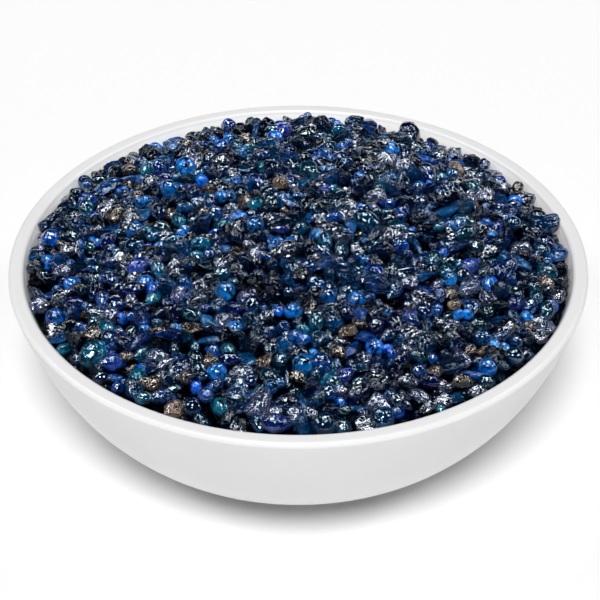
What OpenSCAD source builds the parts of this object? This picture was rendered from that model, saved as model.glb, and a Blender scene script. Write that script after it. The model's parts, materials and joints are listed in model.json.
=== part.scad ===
// Porcelain bowl heaped with resin grains.
// Millimetres, +Z up. The origin is on the bowl's axis, at the surface that its foot stands on.

/* [Bowl] */
// Outside diameter of the rim
rim_d = 140; // [120:1:170]
// Overall height, from the table to the top of the lip
bowl_h = 47.5; // [42:0.5:56]
// Width of the flat-topped lip
lip_w = 3.8; // [3.2:0.1:5]
// Radius that rounds each edge of the lip
lip_r = 1; // [0.5:0.1:1.5]
// Thickness of the bowl's floor
floor_t = 4.6; // [4:0.1:6]
// Outside diameter of the foot ring
foot_d = 64; // [56:1:70]
// Width of the foot ring where it stands
foot_w = 3.2; // [2.5:0.1:5]
// Height of the foot ring under the bowl's floor
foot_h = 3; // [2:0.5:5]

/* [Heap of grains] */
// How far the grains against the wall stay below the top of the lip
edge_drop = 1; // [0:0.1:4]
// How far the middle of the heap stands above the grains at its edge
dome_h = 8.5; // [5:0.5:11]
// Number of separate grains in the top layer
grain_count = 1060; // [600:20:1100]
// Smallest and largest grain, as a share of the mean size
size_spread = 0.32; // [0:0.01:0.4]
// Clear gap between neighbouring grains
grain_gap = 0.16; // [0.12:0.01:0.4]
// Clear gap between the buried grains and the bowl
bed_gap = 0.5; // [0.4:0.1:1]
// Number that sets the random layout
layout_seed = 24; // [1:1:99]

/* [Hidden] */
$fn = 48;
rim_r = rim_d / 2;
foot_r = foot_d / 2;
steps = 22;

// The outer wall is one cubic curve in (radius, height): flat under the bowl, steep at the rim.
wall_lean = 0.25;
wall_top = bowl_h - lip_r * (1 + wall_lean);
wall_rise = wall_top - foot_h;
wall_a = [0.373 * rim_r, foot_h];
wall_b = [0.770 * rim_r, foot_h];
wall_c = [0.931 * rim_r, foot_h + 0.564 * wall_rise];
wall_d = [rim_r, wall_top];

function curve(t) =
    wall_a * pow(1 - t, 3) + 3 * wall_b * pow(1 - t, 2) * t
    + 3 * wall_c * (1 - t) * pow(t, 2) + wall_d * pow(t, 3);
function slope(t) =
    (wall_b - wall_a) * pow(1 - t, 2) + 2 * (wall_c - wall_b) * (1 - t) * t
    + (wall_d - wall_c) * pow(t, 2);
function inward(t) = [-slope(t)[1], slope(t)[0]] / norm(slope(t));
function thickness(t) = floor_t + (lip_w - floor_t) * t;
function inner(t, gap = 0) = curve(t) + inward(t) * (thickness(t) + gap);
// The place along the inner wall, from 0 to 1, where it reaches a height.
function inner_at(height, gap = 0, low = 0, high = 1, tries = 24) =
    let (mid = (low + high) / 2)
    tries == 0 ? mid
    : inner(mid, gap)[1] > height ? inner_at(height, gap, low, mid, tries - 1)
    : inner_at(height, gap, mid, high, tries - 1);
function arc(centre, r, from, to, n = 6) =
    [for (i = [0:n]) let (a = from + (to - from) * i / n) centre + r * [cos(a), sin(a)]];

// The buried grains end at a dome, one grain below the visible surface.
mean_r = 0.87 * (rim_r - lip_w - bed_gap) / sqrt(grain_count);
bed_top = bowl_h - edge_drop - 2 * mean_r;
bed_r = inner(inner_at(bed_top, bed_gap), bed_gap)[0];
function dome(r) = bed_top + dome_h * (1 - pow(r / bed_r, 2));
function dome_tilt(r) = atan(2 * dome_h * r / pow(bed_r, 2));

// Layout: a sunflower spiral, shaken, then pushed apart until the grains only just clear each other.
golden = 137.508;
field_r = inner(inner_at(bed_top + mean_r * 0.6))[0] - 0.45;
pitch = (field_r - mean_r * 0.75) / sqrt(grain_count);
ids = [0:grain_count - 1];
function picks(low, high, turn) = rands(low, high, grain_count, layout_seed + turn);
shake_x = picks(-0.8, 0.8, 0);
shake_y = picks(-0.8, 0.8, 1);
size_pick = picks(-1, 1, 2);
want_r = [for (i = ids) mean_r * (1 + size_spread * size_pick[i])];
spiral = [for (i = ids) let (r = pitch * sqrt(i + 0.5), a = golden * i) r * [cos(a), sin(a)]];
start = [for (i = ids) spiral[i] + mean_r * [shake_x[i], shake_y[i]]];
// Neighbours on a sunflower spiral lie a Fibonacci number of steps apart, or a sum of two of them.
strides = [1, 2, 3, 5, 8, 13, 21, 26, 34, 42, 47, 55, 68, 76, 89, 110, 123, 144];
reach = 5.2 * pitch;
near = [for (i = ids) [
    for (s = strides, j = [i - s, i + s])
        if (j >= 0 && j < grain_count && norm(spiral[i] - spiral[j]) < reach) j]];

function total(v, i = 0, sum = [0, 0]) = i == len(v) ? sum : total(v, i + 1, sum + v[i]);
function pushes(p, i) = [
    for (j = near[i])
        let (off = p[i] - p[j], d = norm(off), lap = want_r[i] + want_r[j] + grain_gap - d)
        if (lap > 0) off / max(d, 0.01) * lap * 0.36];
function held(q, r) = norm(q) > field_r - r ? q * (field_r - r) / norm(q) : q;
function settle(p, n) =
    n == 0 ? p : settle([for (i = ids) held(p[i] + total(pushes(p, i)), want_r[i])], n - 1);
spot = settle(start, 8);
grain_r = [for (i = ids) min([
    1.12 * want_r[i],
    field_r - norm(spot[i]),
    for (j = near[i])
        (norm(spot[i] - spot[j]) - grain_gap) * want_r[i] / (want_r[i] + want_r[j])])];

// Each grain rests on the dome, some a little proud of it.
proud = picks(0, 0.5, 3);
rest_gap = 0.15;
function seat(i) =
    let (r = norm(spot[i]))
    [spot[i][0], spot[i][1], dome(r) + (grain_r[i] + rest_gap) / cos(dome_tilt(r)) + proud[i]];

// Every grain has a kind, and lies in one of five parts of the heap.
KINDS = ["round_pearls", "oval_beads", "drops", "dark_nuggets", "crinkled_lumps",
    "pointed_chips", "flakes", "twins", "undyed_bits"];
kind_share = [0.14, 0.13, 0.08, 0.26, 0.13, 0.09, 0.06, 0.06, 0.05];
ZONES = ["centre", "front", "right", "back", "left"];
centre_share = 0.46;
kind_pick = picks(0, 1, 4);
function kind_of(p, k = 0) =
    k == len(KINDS) - 1 || p < kind_share[k] ? k : kind_of(p - kind_share[k], k + 1);
function zone_of(q) =
    norm(q) < centre_share * field_r ? 0
    : abs(q[0]) < abs(q[1]) ? (q[1] < 0 ? 1 : 3) : (q[0] > 0 ? 2 : 4);
grain_kind = [for (i = ids) kind_of(kind_pick[i])];
grain_zone = [for (i = ids) zone_of(spot[i])];
tumble = [for (axis = [0:2]) picks(0, 360, 5 + axis)];

KIND_COLOURS = ["royalblue", "teal", "slateblue", [0.05, 0.07, 0.16], "lightsteelblue",
    "midnightblue", "steelblue", "dodgerblue", "rosybrown"];
GRAIN_NODES = [for (k = KINDS, z = ZONES) str(k, "_", z)];

// One revolved solid: foot ring, outer wall, rounded flat lip, inner wall and floor.
module bowl() {
    lip_outer = wall_d + inward(1) * lip_r;
    lip_inner = lip_outer - [lip_w - 2 * lip_r, 0];
    lean = atan(wall_lean);
    foot_chamfer = 0.5;
    first = 0.11;
    last = 0.97;
    color("white") rotate_extrude($fn = 96) polygon(concat(
        [[0, foot_h], [foot_r - foot_w - foot_chamfer, foot_h],
            [foot_r - foot_w, foot_chamfer], [foot_r - foot_w + foot_chamfer, 0],
            [foot_r - foot_chamfer, 0], [foot_r, foot_chamfer]],
        [for (i = [0:steps - 1]) curve(first + (1 - first) * i / steps)],
        arc(lip_outer, lip_r, -lean, 90),
        arc(lip_inner, lip_r, 90, 180 - lean),
        [for (i = [0:steps]) inner(last * (1 - i / steps))],
        [[0, inner(0)[1]]]));
}

// The grains under the top layer, as one closed solid of their outer shape.
module grain_bed() {
    top_t = inner_at(bed_top, bed_gap);
    color("navy") rotate_extrude($fn = 96) polygon(concat(
        [[0, inner(0, bed_gap)[1]]],
        [for (i = [0:steps - 1]) inner(top_t * i / steps, bed_gap)],
        [for (i = [0:12]) let (r = bed_r * (1 - i / 12)) [r, dome(r)]]));
}

// Each kind's shape fits in a sphere of the grain's own radius.
module pearl(r) sphere(r);
module bead(r) intersection() { sphere(r); cylinder(r = 0.74 * r, h = 3 * r, center = true); }
module drop(r) {
    translate([0, 0, -0.3 * r]) sphere(0.7 * r);
    cylinder(r1 = 0.56 * r, r2 = 0.06 * r, h = 0.97 * r);
}
module nugget(r) intersection() {
    cylinder(r = 0.9 * r, h = r, center = true, $fn = 5);
    rotate([90, 0, 25]) cylinder(r = 0.88 * r, h = 1.4 * r, center = true, $fn = 6);
}
module lump(r) intersection() {
    sphere(r);
    cylinder(r = 0.94 * r, h = 3 * r, center = true, $fn = 4);
}
module chip(r) linear_extrude(0.55 * r, center = true)
    polygon(r * [[0.95, 0], [0.2, 0.5], [-0.6, 0.4], [-0.9, -0.1], [-0.3, -0.45], [0.4, -0.4]]);
module flake(r) intersection() {
    translate([0, 0, 0.85 * r]) sphere(1.3 * r);
    translate([0, 0, -0.85 * r]) sphere(1.3 * r);
}
module twin(r)
    for (side = [-1, 1]) translate([0, 0, 0.36 * side * r]) sphere((0.6 - 0.04 * side) * r);
module bit(r) intersection() {
    sphere(r);
    cylinder(r = 0.96 * r, h = 1.1 * r, center = true, $fn = 7);
}

module grain(kind, r) {
    if (kind == 0) pearl(r);
    if (kind == 1) bead(r);
    if (kind == 2) drop(r);
    if (kind == 3) nugget(r);
    if (kind == 4) lump(r);
    if (kind == 5) chip(r);
    if (kind == 6) flake(r);
    if (kind == 7) twin(r);
    if (kind == 8) bit(r);
}

// The grains of one kind in one part of the heap: separate solids that share a node.
module grains(kind, zone) color(KIND_COLOURS[kind])
    for (i = ids)
        if (grain_kind[i] == kind && grain_zone[i] == zone)
            translate(seat(i)) rotate([for (axis = tumble) axis[i]]) grain(kind, grain_r[i]);

bowl();
grain_bed();
for (k = [0:len(KINDS) - 1], z = [0:len(ZONES) - 1])
    grains(k, z);
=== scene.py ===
"""A white porcelain dish heaped with glossy grains of dark blue resin.

The dish is a fine lathe of the CAD bowl's own section. Each grain of the top layer is grown where its
CAD solid lies, in the shape of its kind, and smaller grains fill the space under and around them.
"""
import json
import math

import bmesh
import bpy
import numpy as np
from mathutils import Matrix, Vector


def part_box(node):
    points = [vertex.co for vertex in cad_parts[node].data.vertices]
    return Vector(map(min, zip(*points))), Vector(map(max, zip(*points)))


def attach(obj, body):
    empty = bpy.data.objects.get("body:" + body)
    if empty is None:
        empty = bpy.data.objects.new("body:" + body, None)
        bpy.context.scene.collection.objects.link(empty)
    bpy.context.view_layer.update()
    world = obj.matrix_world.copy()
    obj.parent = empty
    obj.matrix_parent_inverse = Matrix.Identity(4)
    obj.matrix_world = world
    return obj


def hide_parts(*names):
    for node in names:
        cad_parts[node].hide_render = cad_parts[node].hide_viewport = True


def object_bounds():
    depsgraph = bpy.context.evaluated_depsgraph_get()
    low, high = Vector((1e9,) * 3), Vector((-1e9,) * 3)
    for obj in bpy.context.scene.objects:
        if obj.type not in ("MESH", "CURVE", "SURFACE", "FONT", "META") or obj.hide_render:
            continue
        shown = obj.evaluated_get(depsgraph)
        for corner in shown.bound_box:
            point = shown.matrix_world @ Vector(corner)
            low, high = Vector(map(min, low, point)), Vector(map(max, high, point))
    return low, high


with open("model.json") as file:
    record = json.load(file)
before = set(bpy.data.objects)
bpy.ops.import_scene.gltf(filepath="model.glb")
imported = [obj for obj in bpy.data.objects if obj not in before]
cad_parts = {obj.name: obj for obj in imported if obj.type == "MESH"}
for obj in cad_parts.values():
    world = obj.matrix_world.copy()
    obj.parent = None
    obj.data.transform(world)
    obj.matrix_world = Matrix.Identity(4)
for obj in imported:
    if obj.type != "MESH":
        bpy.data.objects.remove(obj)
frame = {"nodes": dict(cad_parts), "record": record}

CAD_LOW, CAD_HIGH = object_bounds()
MM = 0.001
SEED = 7
RIM_RADIUS = (CAD_HIGH.x - CAD_LOW.x) / 2
RIM_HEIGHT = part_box("bowl")[1].z


# ---------------------------------------------------------------- camera

def add_camera():
    """Looks down on the dish from in front, from far enough that the rim keeps its proportions."""
    distance = 5.796 * RIM_RADIUS
    elevation = math.radians(35.52)
    tilt_down = math.radians(37.15)
    rim_plane = RIM_HEIGHT - 0.4 * MM
    data = bpy.data.cameras.new("camera")
    data.lens = 100
    data.sensor_width = 36
    camera = bpy.data.objects.new("camera", data)
    back, up = distance * math.cos(elevation), distance * math.sin(elevation)
    camera.location = (0.4 * MM, -back, rim_plane + up)
    camera.rotation_euler = (math.pi / 2 - tilt_down, 0, 0)
    bpy.context.collection.objects.link(camera)
    bpy.context.scene.camera = camera


# ---------------------------------------------------------------- mesh helpers

def add_mesh(name, points, triangles, values=None):
    """One smooth mesh object from arrays, with a number for each point under each name in values."""
    mesh = bpy.data.meshes.new(name)
    mesh.vertices.add(len(points))
    mesh.vertices.foreach_set("co", np.asarray(points, np.float32).ravel())
    mesh.loops.add(3 * len(triangles))
    mesh.loops.foreach_set("vertex_index", np.asarray(triangles, np.int32).ravel())
    mesh.polygons.add(len(triangles))
    mesh.polygons.foreach_set("loop_start", np.arange(0, 3 * len(triangles), 3, dtype=np.int32))
    mesh.update(calc_edges=True)
    mesh.validate()
    mesh.shade_smooth()
    for key, numbers in (values or {}).items():
        attribute = mesh.attributes.new(key, "FLOAT", "POINT")
        attribute.data.foreach_set("value", np.asarray(numbers, np.float32))
    piece = bpy.data.objects.new(name, mesh)
    bpy.context.collection.objects.link(piece)
    return piece


def ball(level):
    """Unit icosphere as arrays of points and triangles."""
    bm = bmesh.new()
    bmesh.ops.create_icosphere(bm, subdivisions=level, radius=1)
    points = np.array([v.co for v in bm.verts])
    triangles = np.array([[v.index for v in f.verts] for f in bm.faces])
    bm.free()
    return points / np.linalg.norm(points, axis=1)[:, None], triangles


def cad_section(node):
    """The (radius, height) points of a revolved CAD node, from the axis below to the axis above."""
    grid = 0.04 * MM
    mesh = frame["nodes"][node].data
    spots = np.array([v.co for v in mesh.vertices])
    flat = np.stack([np.hypot(spots[:, 0], spots[:, 1]), spots[:, 2]], 1)
    keys = [tuple(k) for k in np.round(flat / grid).astype(int)]
    linked = {}
    for edge in mesh.edges:
        a, b = keys[edge.vertices[0]], keys[edge.vertices[1]]
        if a != b:
            linked.setdefault(a, set()).add(b)
            linked.setdefault(b, set()).add(a)
    at = min(linked)
    path = [at]
    while True:
        ahead = [k for k in linked[at] if k not in path]
        if not ahead:
            break
        at = min(ahead, key=lambda k: math.dist(k, at))
        path.append(at)
    if path[0][1] > path[-1][1]:
        path.reverse()
    below = [(0, path[0][1])] if path[0][0] else []
    above = [(0, path[-1][1])] if path[-1][0] else []
    return np.array(below + path + above) * grid


def smoothed(section, step, rounds):
    """The same section cut into short steps, with its corners rounded off by that much."""
    points = [section[0]]
    for a, b in zip(section, section[1:]):
        parts = max(1, math.ceil(np.linalg.norm(b - a) / step))
        points += [a + (b - a) * i / parts for i in range(1, parts + 1)]
    for _ in range(rounds):
        cut = [points[0]]
        for a, b in zip(points, points[1:]):
            cut += [a * 0.75 + b * 0.25, a * 0.25 + b * 0.75]
        points = cut + [points[-1]]
    return np.array(points)


def lathe(name, section, turns, ripple=None, values=None):
    """Revolves a section that starts and ends on the axis; ripple moves each point along its radius."""
    angles = np.arange(turns) * 2 * math.pi / turns
    ring = section[1:-1]
    radius = np.repeat(ring[:, 0:1], turns, 1)
    height = np.repeat(ring[:, 1:2], turns, 1)
    if ripple:
        radius = radius + ripple(radius, height, angles[None, :])
    points = np.stack([radius * np.cos(angles), radius * np.sin(angles), height], -1).reshape(-1, 3)
    low = len(points)
    points = np.concatenate([points, [[0, 0, section[0, 1]], [0, 0, section[-1, 1]]]])
    triangles = []
    for i in range(len(ring) - 1):
        for j in range(turns):
            a, b = i * turns + j, i * turns + (j + 1) % turns
            triangles += [(a, b, b + turns), (a, b + turns, a + turns)]
    last = (len(ring) - 1) * turns
    for j in range(turns):
        triangles.append((low, (j + 1) % turns, j))
        triangles.append((low + 1, last + j, last + (j + 1) % turns))
    numbers = {k: f(points) for k, f in (values or {}).items()}
    return add_mesh(name, points, triangles, numbers)


def islands(node):
    """The centre and radius of each separate solid in a CAD node."""
    mesh = frame["nodes"][node].data
    spots = np.zeros(3 * len(mesh.vertices))
    mesh.vertices.foreach_get("co", spots)
    spots = spots.reshape(-1, 3)
    edges = np.zeros(2 * len(mesh.edges), int)
    mesh.edges.foreach_get("vertices", edges)
    _, same = np.unique(np.round(spots / (0.001 * MM)).astype(np.int64), axis=0, return_inverse=True)
    a, b = same.ravel()[edges.reshape(-1, 2)].T
    label = np.arange(same.max() + 1)
    while True:
        lowest = np.minimum(label[a], label[b])
        new = label.copy()
        np.minimum.at(new, a, lowest)
        np.minimum.at(new, b, lowest)
        new = new[new]
        if (new == label).all():
            break
        label = new
    label = label[same.ravel()]
    found = []
    for k in np.unique(label):
        own = spots[label == k]
        centre = (own.min(0) + own.max(0)) / 2
        found.append((centre, np.linalg.norm(own - centre, axis=1).max()))
    return found


# ---------------------------------------------------------------- shapes of the grains

def waves(rng, dirs, count, low, high):
    """Smooth noise from -1 to 1 over directions: a few sine waves with random headings."""
    heading = rng.normal(size=(count, 3))
    heading *= (rng.uniform(low, high, count) / np.linalg.norm(heading, axis=1))[:, None]
    return np.sin(dirs @ heading.T + rng.uniform(0, 2 * math.pi, count)).sum(1) / math.sqrt(count) / 1.4


def ridges(rng, dirs, count, low, high):
    """Noise from 0 to 1 that rises to sharp crests, as on dried, wrinkled resin."""
    crests = 1 - np.abs(waves(rng, dirs, count, low, high))
    return np.clip(crests, 0, 1) ** 2


def facets(rng, dirs, count, depth, sharp):
    """Radius of a rounded lump with that many flat sides; sharp sets how crisp its edges are."""
    normal = rng.normal(size=(count, 3))
    normal /= np.linalg.norm(normal, axis=1)[:, None]
    reach = rng.uniform(1 - depth, 1, count)
    facing = np.maximum(dirs @ normal.T, 0) / reach
    longest = 1.25
    return ((facing ** sharp).sum(1) + (1 / longest) ** sharp) ** (-1 / sharp)


def dimple(rng, dirs, depth, width):
    """A small round dent somewhere on the upper side."""
    at = rng.normal(size=3) + np.array([0, 0, 1.2])
    at /= np.linalg.norm(at)
    return -depth * np.exp(-(1 - dirs @ at) / width)


def pearl(rng, dirs):
    """A nearly round grain, often with one small dent. Each shape below maps directions to points."""
    r = 1 + 0.06 * waves(rng, dirs, 4, 1, 3) + 0.03 * waves(rng, dirs, 6, 5, 9)
    if rng.random() < 0.6:
        r += dimple(rng, dirs, rng.uniform(0.1, 0.3), rng.uniform(0.02, 0.06))
    return dirs * r[:, None] * np.array([1, rng.uniform(0.88, 1), rng.uniform(0.8, 0.95)])


def bead(rng, dirs):
    r = 1 + 0.08 * waves(rng, dirs, 4, 1, 3) + 0.035 * waves(rng, dirs, 6, 5, 9)
    r += dimple(rng, dirs, rng.uniform(0, 0.25), 0.05)
    return dirs * r[:, None] * np.array([1.22, rng.uniform(0.8, 0.92), rng.uniform(0.72, 0.85)])


def drop(rng, dirs):
    r = 0.97 + 0.06 * waves(rng, dirs, 4, 1, 3) + 0.08 * ridges(rng, dirs, 5, 5, 9)
    p = dirs * r[:, None]
    taper = 1 - 0.5 * np.clip((p[:, 0] + 0.3) / 1.3, 0, 1) ** 1.3
    return np.stack([p[:, 0] * 1.28, p[:, 1] * 0.85 * taper, p[:, 2] * 0.8 * taper], 1)


def nugget(rng, dirs):
    r = facets(rng, dirs, rng.integers(9, 15), 0.32, rng.uniform(9, 18))
    r *= 0.9 + 0.08 * waves(rng, dirs, 5, 3, 6) + 0.18 * ridges(rng, dirs, 5, 4, 8)
    r += dimple(rng, dirs, rng.uniform(0, 0.3), 0.06)
    return dirs * r[:, None] * rng.uniform([0.95, 0.8, 0.7], [1.2, 1, 0.95])


def lump(rng, dirs):
    r = facets(rng, dirs, 8, 0.25, 7)
    r *= 0.84 + 0.22 * ridges(rng, dirs, 5, 4, 8) + 0.10 * ridges(rng, dirs, 6, 8, 12)
    return dirs * r[:, None] * rng.uniform([1, 0.8, 0.65], [1.3, 0.95, 0.85])


def chip(rng, dirs):
    r = facets(rng, dirs, 11, 0.3, 16) * (1 + 0.06 * ridges(rng, dirs, 5, 3, 8))
    p = dirs * r[:, None]
    taper = 1 - 0.55 * np.abs(p[:, 0]) ** 1.5
    length = rng.uniform(1.35, 1.9)
    width = 0.7
    if rng.random() < 0.18:
        length, width = 2.2, 0.36
    return np.stack([p[:, 0] * length, p[:, 1] * width * taper, p[:, 2] * 0.42 * taper], 1)


def flake(rng, dirs):
    r = facets(rng, dirs, 9, 0.25, 10) * (1 + 0.05 * waves(rng, dirs, 5, 3, 7))
    p = dirs * r[:, None] * np.array([1.25, 1, 0.3])
    p[:, 2] += rng.uniform(0.1, 0.3) * (p[:, 0] ** 2 - 0.4) + 0.05 * ridges(rng, dirs, 4, 3, 6)
    return p


def twin(rng, dirs):
    """Two balls grown together, seen as the farther of the two surfaces from the point between them."""
    reach = 0.44
    share = rng.uniform(0.56, 0.68)
    far = np.zeros(len(dirs))
    for side, size in ((1, 1.26 - share), (-1, share)):
        along = dirs[:, 0] * side * reach
        inside = np.maximum(along ** 2 - reach ** 2 + size ** 2, 0)
        far = np.maximum(far, along + np.sqrt(inside))
    far = far + 0.05 * waves(rng, dirs, 5, 2, 6) + 0.02 * waves(rng, dirs, 6, 6, 10)
    return dirs * far[:, None] * 1.1


def bit(rng, dirs):
    r = facets(rng, dirs, 10, 0.3, 8) * (0.93 + 0.1 * ridges(rng, dirs, 6, 4, 9))
    return dirs * r[:, None] * rng.uniform([0.95, 0.8, 0.6], [1.2, 1, 0.85])


# kind: shape, size against its CAD solid, and how freely it tumbles (1 is any way up)
KINDS = {
    "round_pearls": (pearl, 1.28, 1.0),
    "oval_beads": (bead, 1.14, 0.5),
    "drops": (drop, 1.24, 0.5),
    "dark_nuggets": (nugget, 1.30, 1.0),
    "crinkled_lumps": (lump, 1.32, 0.5),
    "pointed_chips": (chip, 1.28, 0.35),
    "flakes": (flake, 1.22, 0.3),
    "twins": (twin, 1.22, 0.4),
    "undyed_bits": (bit, 1.24, 0.6),
}
ZONES = ("centre", "front", "right", "back", "left")


def turned(rng, points, freedom):
    """Turns a grain at random: any way round, and up to freedom of the way to any way up."""
    yaw = rng.uniform(0, 2 * math.pi)
    lean = rng.uniform(0, math.pi if freedom == 1 else freedom)
    heading = rng.uniform(0, 2 * math.pi)
    axis = np.array([math.cos(heading), math.sin(heading), 0])
    about_z = np.array([[math.cos(yaw), -math.sin(yaw), 0], [math.sin(yaw), math.cos(yaw), 0], [0, 0, 1]])
    cross = np.array([[0, 0, axis[1]], [0, 0, -axis[0]], [-axis[1], axis[0], 0]])
    leaning = np.eye(3) + math.sin(lean) * cross + (1 - math.cos(lean)) * cross @ cross
    return points @ (leaning @ about_z).T


# ---------------------------------------------------------------- the heap

BOWL_SECTION = cad_section("bowl")
BED_SECTION = cad_section("grain_bed")
BED_EDGE = int(BED_SECTION[:, 0].argmax())
BED_RADIUS, BED_TOP = BED_SECTION[BED_EDGE]
BED_APEX = BED_SECTION[-1, 1]
LIP_END = int(np.flatnonzero(BOWL_SECTION[:, 1] > RIM_HEIGHT - 0.05 * MM)[-1])
INNER_WALL = BOWL_SECTION[LIP_END:][::-1]
GRAIN = 1.75 * MM  # radius of a typical buried grain
GOLDEN_ANGLE = math.radians(137.508)


def dome(radius):
    """Height of the buried grains' domed top at a distance from the axis."""
    return BED_TOP + (BED_APEX - BED_TOP) * (1 - (radius / BED_RADIUS) ** 2)


def relief(x, y):
    """The low hills and hollows of loose grains, as a height above the smooth dome."""
    across = math.sin(x * 520 + 1.3 + 1.2 * math.sin(y * 310))
    along = math.sin(y * 610 - 0.4 + 0.9 * math.sin(x * 270))
    small = 0.4 * math.sin(x * 1100 + y * 700)
    hump_at_back = math.exp(-((x + 1 * MM) ** 2 + (y - 58 * MM) ** 2) / (11 * MM) ** 2)
    return 0.75 * MM * (across * along + small) + 1.2 * MM * hump_at_back


def kept_inside(points):
    """The same points, pulled in wherever they would pass through the dish.

    Above the lip the limit widens with height, so that a grain may hang over the lip's edge."""
    gap = 0.12 * MM
    radius = np.hypot(points[:, 0], points[:, 1])
    limit = np.interp(points[:, 2], INNER_WALL[:, 1], INNER_WALL[:, 0]) - gap
    limit += 1.2 * np.maximum(points[:, 2] - RIM_HEIGHT, 0)
    pull = np.where(radius > limit, limit / np.maximum(radius, 1e-9), 1)
    floor = INNER_WALL[0, 1] + gap
    return np.stack([points[:, 0] * pull, points[:, 1] * pull, np.maximum(points[:, 2], floor)], 1)


def grow(name, kind, places, level, rng, nodes, unshaded=1.0):
    """One piece with a grain of that kind at each (centre, radius) place.

    Unshaded runs from 0, where painted shade dims a grain's colour and shine, to 1, where there is none."""
    dirs, triangles = BALLS[level]
    shape, scale, freedom = KINDS[kind]
    points, faces, tones, hues = [], [], [], []
    for n, (centre, radius) in enumerate(places):
        local = turned(rng, shape(rng, dirs), freedom) * radius * scale * rng.uniform(0.94, 1.06)
        points.append(local + centre)
        faces.append(triangles + n * len(dirs))
        tones.append(np.full(len(dirs), rng.random()))
        hues.append(np.full(len(dirs), rng.random()))
    values = {"tone": np.concatenate(tones), "hue": np.concatenate(hues)}
    values["unshaded"] = np.full(len(values["tone"]), unshaded)
    piece = add_mesh(name, kept_inside(np.concatenate(points)), np.concatenate(faces), values)
    piece.data.materials.append(MATERIALS[kind])
    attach(piece, "charge")
    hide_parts(*nodes)
    return piece


def top_places(rng, node):
    """Where the CAD grains of one node lie, on the heap's relief, with some proud and some larger.

    They are spread a little, so that the outer ones meet the wall."""
    spread = np.array([1.004, 1.004, 1])
    places = []
    for centre, radius in islands(node):
        lift = relief(centre[0], centre[1]) + rng.uniform(-0.3, 0.5) * MM
        if rng.random() < 0.12:
            lift += rng.uniform(0.2, 0.9) * MM
        if rng.random() < 0.16:
            radius *= rng.uniform(1.15, 1.4)
        places.append((centre * spread + np.array([0, 0, lift]), radius))
    return places


def around_axis(radius, angle, height):
    return np.array([radius * math.cos(angle), radius * math.sin(angle), height])


def buried_places(rng):
    """Grains that fill the gaps: under the top layer, against the wall, and down the heap's sides."""
    places = []
    under = 1250
    for i in range(under):
        radius = (BED_RADIUS - 0.7 * GRAIN) * math.sqrt((i + 0.5) / under)
        angle = i * GOLDEN_ANGLE
        x = radius * math.cos(angle) + rng.normal(0, 0.5) * MM
        y = radius * math.sin(angle) + rng.normal(0, 0.5) * MM
        z = dome(math.hypot(x, y)) + relief(x, y) + rng.uniform(-0.8, 0.3) * MM
        places.append((np.array([x, y, z]), GRAIN * rng.uniform(0.8, 1.15)))
    edge = 150
    for i in range(edge):
        angle = 2 * math.pi * (i + rng.uniform(-0.2, 0.2)) / edge
        radius = BED_RADIUS - rng.uniform(0.2, 0.9) * MM
        height = BED_TOP + rng.uniform(0, 1.6) * MM
        places.append((around_axis(radius, angle, height), GRAIN * rng.uniform(0.6, 0.85)))
    side = smoothed(BED_SECTION[:BED_EDGE + 1], 0.3 * MM, 1)
    length = np.concatenate([[0], np.cumsum(np.linalg.norm(np.diff(side, axis=0), axis=1))])
    for row in np.arange(0.5 * GRAIN, length[-1] - 0.6 * GRAIN, 1.7 * GRAIN):
        count = max(1, int(2 * math.pi * np.interp(row, length, side[:, 0]) / (1.9 * GRAIN)))
        start = rng.uniform(0, 2 * math.pi)
        for j in range(count):
            angle = start + 2 * math.pi * (j + rng.uniform(-0.2, 0.2)) / count
            at = np.clip(row + rng.uniform(-0.6, 0.6) * GRAIN, 0, length[-1] - 1 * MM)
            here = np.array([np.interp(at, length, side[:, k]) for k in (0, 1)])
            ahead = np.array([np.interp(at + 0.5 * MM, length, side[:, k]) for k in (0, 1)])
            along = (ahead - here) / np.linalg.norm(ahead - here)
            depth = GRAIN * 0.85 + rng.uniform(0, 0.4) * MM
            radius, height = here + depth * np.array([-along[1], along[0]])
            places.append((around_axis(radius, angle, height), GRAIN * rng.uniform(0.85, 1.12)))
    return places


def add_top_layer():
    """The grains that show, one piece for each CAD node."""
    for k, kind in enumerate(KINDS):
        for z, zone in enumerate(ZONES):
            node = f"{kind}_{zone}"
            rng = np.random.default_rng([SEED, k, z])
            grow(f"grown_{node}", kind, top_places(rng, node), TOP_LEVEL, rng, [node])


def add_buried_grains():
    """The grains under the top layer, one piece for each kind, and two for the commonest."""
    rng = np.random.default_rng([SEED, 99])
    share = {
        "round_pearls": 0.06,
        "oval_beads": 0.07,
        "drops": 0.07,
        "dark_nuggets": 0.54,
        "crinkled_lumps": 0.10,
        "pointed_chips": 0.07,
        "flakes": 0.04,
        "twins": 0.02,
        "undyed_bits": 0.03,
    }
    groups = {kind: [] for kind in KINDS}
    for place in buried_places(rng):
        groups[rng.choice(list(share), p=list(share.values()))].append(place)
    for kind, places in groups.items():
        half = len(places) // 2 if kind == "dark_nuggets" else len(places)
        for part, some in enumerate((places[:half], places[half:])):
            if some:
                name, slot = f"buried_{kind}_{part + 1}", SLOTS[f"{kind}_centre"]
                # Buried grains carry painted shade: their colour and shine are dimmed to a tenth.
                grow(name, kind, some, BURIED_LEVEL, rng, ["grain_bed"], unshaded=0.1)


def add_core():
    """A dark, uneven body behind the buried grains, so that no light passes between them."""
    inset = 1.6 * MM
    section = smoothed(BED_SECTION, 1.2 * MM, 1)
    centre = np.array([0, (BED_SECTION[0, 1] + BED_APEX) / 2])
    section = centre + (section - centre) * (1 - inset / (BED_APEX - centre[1]))

    def uneven(radius, height, angle):
        return 0.5 * MM * np.sin(angle * 61 + height * 2500) * np.sin(height * 1700 + angle * 23)

    core = lathe("packed_core", section, 180, uneven)
    core.data.materials.append(MATERIALS["core"])
    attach(core, "charge")
    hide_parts("grain_bed")


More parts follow.
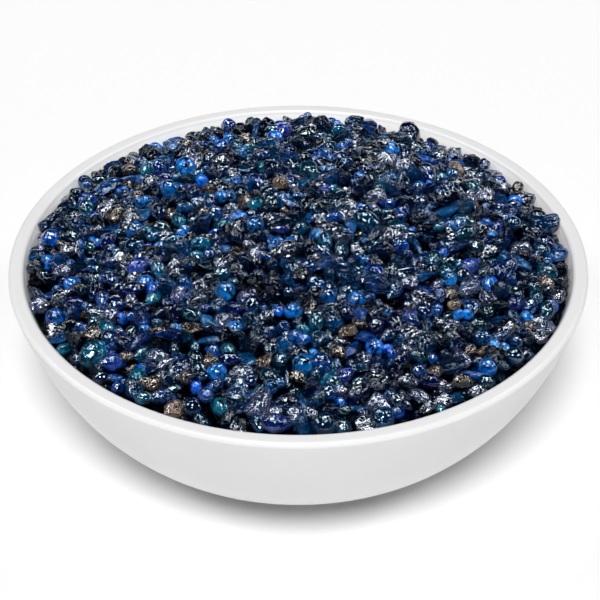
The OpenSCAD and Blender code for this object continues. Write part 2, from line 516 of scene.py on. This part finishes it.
def add_dish():
    """The porcelain dish, on a lathe, with the bare ring where its foot stood in the kiln."""
    section = smoothed(BOWL_SECTION, 0.9 * MM, 2)

    def bare(points):
        radius = np.hypot(points[:, 0], points[:, 1])
        return np.clip(1.4 - points[:, 2] / (0.35 * MM), 0, 1) * (radius < RIM_RADIUS / 2)

    # Marks the inner wall, where the porcelain gets painted light: a whiter glaze.
    def inside(points):
        radius = np.hypot(points[:, 0], points[:, 1])
        wall = np.interp(points[:, 2], INNER_WALL[:, 1], INNER_WALL[:, 0])
        below_lip = np.clip((RIM_HEIGHT - 0.35 * MM - points[:, 2]) / (0.5 * MM), 0, 1)
        above_floor = points[:, 2] > INNER_WALL[0, 1] - 0.5 * MM
        return np.clip((wall + 0.9 * MM - radius) / (0.6 * MM), 0, 1) * below_lip * above_floor

    dish = lathe("porcelain_dish", section, 240, values={"bare": bare, "inside": inside})
    dish.data.materials.append(MATERIALS["porcelain"])
    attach(dish, "dish")
    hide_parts("bowl")


# ---------------------------------------------------------------- materials

def new_material(name):
    """An empty node material with a Principled shader, and its node tree's tools."""
    material = bpy.data.materials.new(name)
    material.use_nodes = True
    tree = material.node_tree
    return material, tree, tree.nodes["Principled BSDF"]


def add_node(tree, kind, inputs=None, **settings):
    node = tree.nodes.new(kind)
    for key, value in settings.items():
        setattr(node, key, value)
    for key, value in (inputs or {}).items():
        if isinstance(value, bpy.types.NodeSocket):
            tree.links.new(value, node.inputs[key])
        else:
            node.inputs[key].default_value = value
    return node


def add_ramp(tree, factor, stops):
    """A colour ramp over (position, colour) stops."""
    ramp = add_node(tree, "ShaderNodeValToRGB", {"Fac": factor})
    elements = ramp.color_ramp.elements
    while len(elements) < len(stops):
        elements.new(0.5)
    for element, (position, colour) in zip(elements, stops):
        element.position = position
        element.color = (*colour, 1)
    return ramp.outputs["Color"]


def add_noise(tree, scale, detail=3.0, roughness=0.5, distortion=0.0):
    inputs = {"Vector": add_node(tree, "ShaderNodeTexCoord").outputs["Object"], "Scale": scale}
    inputs.update({"Detail": detail, "Roughness": roughness, "Distortion": distortion})
    return add_node(tree, "ShaderNodeTexNoise", inputs).outputs["Fac"]


def add_range(tree, value, low, high, to_low, to_high):
    inputs = {"Value": value, "From Min": low, "From Max": high, "To Min": to_low, "To Max": to_high}
    return add_node(tree, "ShaderNodeMapRange", inputs).outputs["Result"]


def add_product(tree, a, b):
    return add_node(tree, "ShaderNodeMath", {0: a, 1: b}, operation="MULTIPLY").outputs[0]


def add_bump(tree, height, distance, **more):
    """The normal of a surface raised and lowered by height times distance."""
    inputs = {"Height": height, "Strength": 1, "Distance": distance, **more}
    return add_node(tree, "ShaderNodeBump", inputs).outputs["Normal"]


def add_creases(tree, scale):
    """Sharp crests with soft hollows between them, like the skin of a raisin."""
    swirl = add_noise(tree, scale, 1, 0.55, 1.2)
    off = add_node(tree, "ShaderNodeMath", {0: swirl, 1: 0.5}, operation="SUBTRACT").outputs[0]
    size = add_node(tree, "ShaderNodeMath", {0: off}, operation="ABSOLUTE").outputs[0]
    return add_range(tree, size, 0, 0.25, 1, 0)


def resin(name, colours, rough=(0.01, 0.06), wrinkle=0.9, fine=1.5, ior=1.8, mottle=(0.3, 1.7),
          patchy=0.88, tint=(0.66, 0.86, 1)):
    """Glossy dyed resin: each grain its own shade, and creased so that its shine breaks into glints.

    Colours run from the darkest grain to the brightest, and mottle is how far each one varies within.
    Wrinkle is how deep the creases are, and fine is how close they lie. Patchy is how much less some
    patches shine, and tint is the colour of the shine."""
    material, tree, shader = new_material(name)
    tone = add_node(tree, "ShaderNodeAttribute", attribute_name="tone").outputs["Fac"]
    hue = add_node(tree, "ShaderNodeAttribute", attribute_name="hue").outputs["Fac"]
    unshaded = add_node(tree, "ShaderNodeAttribute", attribute_name="unshaded").outputs["Fac"]
    base = add_ramp(tree, tone, list(zip((0.0, 0.55, 1.0), colours)))
    shade = add_range(tree, add_noise(tree, 600, 4, 0.6, 0.6), 0.37, 0.63, *mottle)
    patch = add_range(tree, add_noise(tree, 110, 1), 0.35, 0.65, 0.55, 1.4)
    # Painted shade: the unshaded value dims the colour of buried grains.
    shade = add_product(tree, shade, add_product(tree, patch, unshaded))
    mottled = add_node(tree, "ShaderNodeVectorMath", {0: base, "Scale": shade}, operation="SCALE")
    turned_hue = add_range(tree, hue, 0, 1, 0.485, 0.515)
    inputs = {"Color": mottled.outputs[0], "Hue": turned_hue}
    tinted = add_node(tree, "ShaderNodeHueSaturation", inputs)
    tree.links.new(tinted.outputs["Color"], shader.inputs["Base Color"])
    gloss = add_range(tree, add_noise(tree, 1300, 2), 0.35, 0.65, *rough)
    tree.links.new(gloss, shader.inputs["Roughness"])
    swell = add_bump(tree, add_noise(tree, 430, 0.5, 0.5, 0.4), 0.55 * wrinkle * MM)
    crease = add_bump(tree, add_creases(tree, 560 * fine), 0.12 * wrinkle / fine * MM, Normal=swell)
    tree.links.new(crease, shader.inputs["Normal"])
    tree.links.new(swell, shader.inputs["Coat Normal"])
    shine = add_range(tree, add_noise(tree, 130, 1.5), 0.36, 0.64, 0.95 - patchy, 0.95)
    # Painted shade also dims the shine of buried grains.
    shine = add_product(tree, shine, unshaded)
    tree.links.new(shine, shader.inputs["Specular IOR Level"])
    tree.links.new(shine, shader.inputs["Coat Weight"])
    shader.inputs["IOR"].default_value = ior
    shader.inputs["Specular Tint"].default_value = (*tint, 1)
    shader.inputs["Coat Roughness"].default_value = 0.05
    return material


def porcelain():
    """White glaze, with painted light that makes it whiter inside the dish, and bare biscuit clay under
    the foot.
    """
    material, tree, shader = new_material("porcelain")
    bare = add_node(tree, "ShaderNodeAttribute", attribute_name="bare").outputs["Fac"]
    cloud = add_noise(tree, 25, 2)
    outer_glaze = add_ramp(tree, cloud, [(0.3, (0.715, 0.715, 0.725)), (0.7, (0.745, 0.745, 0.75))])
    # Painted light: the glaze inside the dish is made whiter than outside, so the inner wall looks more
    # brightly lit.
    painted_light_inside = add_ramp(tree, cloud, [(0.3, (0.915, 0.91, 0.915)), (0.7, (0.935, 0.935, 0.93))])
    within = add_node(tree, "ShaderNodeAttribute", attribute_name="inside").outputs["Fac"]
    glaze = add_node(tree, "ShaderNodeMix", {0: within, 6: outer_glaze, 7: painted_light_inside}, data_type="RGBA").outputs[2]
    clay = add_ramp(tree, add_noise(tree, 900, 3), [(0.3, (0.62, 0.58, 0.52)), (0.7, (0.72, 0.69, 0.63))])
    mixed = add_node(tree, "ShaderNodeMix", {0: bare, 6: glaze, 7: clay}, data_type="RGBA")
    tree.links.new(mixed.outputs[2], shader.inputs["Base Color"])
    gloss = add_range(tree, add_noise(tree, 60, 2), 0.3, 0.7, 0.30, 0.38)
    matte = add_range(tree, bare, 0, 1, 0, 0.6)
    dull = add_node(tree, "ShaderNodeMath", {0: gloss, 1: matte}, operation="ADD")
    tree.links.new(dull.outputs[0], shader.inputs["Roughness"])
    dimples = add_noise(tree, 140, 2)
    skin = add_node(tree, "ShaderNodeBump", {"Height": dimples, "Strength": 0.12, "Distance": 0.1 * MM})
    tree.links.new(skin.outputs["Normal"], shader.inputs["Normal"])
    shader.inputs["IOR"].default_value = 1.5
    return material


def packed_dark():
    """What shows between buried grains: a nearly black, dark blue surface."""
    material, tree, shader = new_material("packed_core")
    shades = [(0.35, (0.001, 0.0015, 0.004)), (0.7, (0.004, 0.008, 0.022))]
    near_black = add_ramp(tree, add_noise(tree, 600, 4), shades)
    tree.links.new(near_black, shader.inputs["Base Color"])
    rough = add_range(tree, add_noise(tree, 900, 2), 0.3, 0.7, 0.5, 0.8)
    tree.links.new(rough, shader.inputs["Roughness"])
    return material


MATERIALS = {
    "porcelain": porcelain(),
    "core": packed_dark(),
    "round_pearls": resin(
        "resin_royal", [(0.0004, 0.005, 0.018), (0.0003, 0.020, 0.094), (0.0006, 0.074, 0.36)],
        rough=(0.02, 0.08), wrinkle=0.6, fine=1, mottle=(0.02, 2.3), patchy=0.1),
    "oval_beads": resin(
        "resin_teal", [(0.0004, 0.006, 0.012), (0.0004, 0.024, 0.054), (0.0008, 0.084, 0.16)],
        rough=(0.02, 0.1), wrinkle=0.6, fine=1, mottle=(0.2, 1.8), patchy=0.2),
    "drops": resin(
        "resin_violet", [(0.001, 0.003, 0.018), (0.002, 0.009, 0.058), (0.008, 0.034, 0.18)],
        rough=(0.02, 0.1), wrinkle=0.7, fine=1.2, patchy=0.3),
    "dark_nuggets": resin(
        "resin_navy", [(0.0002, 0.001, 0.005), (0.0003, 0.004, 0.018), (0.0005, 0.019, 0.074)],
        wrinkle=0.8, fine=1, ior=1.6, tint=(0.72, 0.88, 1)),
    "crinkled_lumps": resin(
        "resin_silver", [(0.002, 0.003, 0.009), (0.008, 0.013, 0.030), (0.04, 0.05, 0.11)],
        rough=(0.02, 0.1), wrinkle=1.2, fine=1.2, ior=2.6, patchy=0.35, tint=(0.76, 0.85, 1)),
    "pointed_chips": resin(
        "resin_midnight", [(0.0006, 0.003, 0.012), (0.0008, 0.012, 0.055), (0.003, 0.045, 0.17)],
        wrinkle=0.8, fine=1.2, ior=1.7),
    "flakes": resin(
        "resin_steel", [(0.0006, 0.005, 0.016), (0.0008, 0.017, 0.055), (0.0025, 0.052, 0.16)],
        wrinkle=0.8, fine=1.2, ior=1.7),
    "twins": resin(
        "resin_bright", [(0.0006, 0.014, 0.06), (0.0004, 0.033, 0.16), (0.0008, 0.085, 0.37)],
        rough=(0.02, 0.08), wrinkle=0.6, fine=1, mottle=(0.02, 2.3), patchy=0.1),
    "undyed_bits": resin(
        "resin_undyed", [(0.003, 0.003, 0.004), (0.005, 0.005, 0.006), (0.12, 0.08, 0.055)],
        rough=(0.03, 0.12), wrinkle=1.3, ior=2, mottle=(0.1, 1.9), patchy=0.35, tint=(1, 0.91, 0.84)),
}
SLOTS = {row["node"]: row["material_slot"] for row in frame["record"]["subparts"]}
TOP_LEVEL = 4
BURIED_LEVEL = 3
BALLS = {level: ball(level) for level in (BURIED_LEVEL, TOP_LEVEL)}


# ---------------------------------------------------------------- floor and light

def add_floor():
    """A wide white table top, bright enough to burn out wherever the dish does not shade it."""
    bpy.ops.mesh.primitive_plane_add(size=6, location=(0, 0, 0))
    floor = bpy.context.object
    floor.name = "floor"
    material = bpy.data.materials.new("white_table")
    material.use_nodes = True
    tree = material.node_tree
    tree.nodes.remove(tree.nodes["Principled BSDF"])
    white = add_node(tree, "ShaderNodeBsdfDiffuse", {"Color": (0.84, 0.84, 0.84, 1)})
    tree.links.new(white.outputs[0], tree.nodes["Material Output"].inputs["Surface"])
    floor.data.materials.append(material)


def add_lamp(name, heading, height, width, strength):
    """A far, round softbox: heading and height give its place in the sky, width how wide it looks."""
    data = bpy.data.lights.new(name, "SUN")
    data.angle = math.radians(width)
    data.energy = strength
    lamp = bpy.data.objects.new(name, data)
    lamp.rotation_euler = (math.radians(90 - height), 0, math.radians(90 + heading))
    bpy.context.collection.objects.link(lamp)
    return lamp


def add_glint_card(name, heading, height, width, strength):
    """A softbox that only shows as a reflection on glossy surfaces, and lights nothing else."""
    add_lamp(name, heading, height, width, strength).visible_diffuse = False


def add_world():
    """Even white light from all around, which shiny surfaces reflect only dimly, as in a dark studio."""
    world = bpy.data.worlds.new("studio")
    bpy.context.scene.world = world
    world.use_nodes = True
    tree = world.node_tree
    shiny = add_node(tree, "ShaderNodeLightPath").outputs["Is Glossy Ray"]
    strength = add_range(tree, shiny, 0, 1, 0.06, 0.004)
    tree.links.new(strength, tree.nodes["Background"].inputs["Strength"])
    tree.nodes["Background"].inputs["Color"].default_value = (1, 1, 1, 1)


def add_lights():
    """A bright softbox high in front, weak ones at the sides, and cards that put glints on the grains."""
    add_lamp("key", -92, 57, 20, 3.5).visible_glossy = False
    add_lamp("left", 178, 40, 14, 0.4)
    add_lamp("right", 2, 40, 14, 0.4)
    add_glint_card("card_overhead", 100, 76, 15, 0.95)
    add_glint_card("card_back_left", 135, 52, 11, 0.35)
    add_glint_card("card_back_right", 48, 48, 11, 0.35)
    add_glint_card("card_front", -110, 62, 12, 1.0)
    add_world()


# ---------------------------------------------------------------- assembly

add_camera()
add_dish()
add_core()
add_buried_grains()
add_top_layer()
add_floor()
add_lights()
bpy.context.scene.view_settings.view_transform = "Standard"
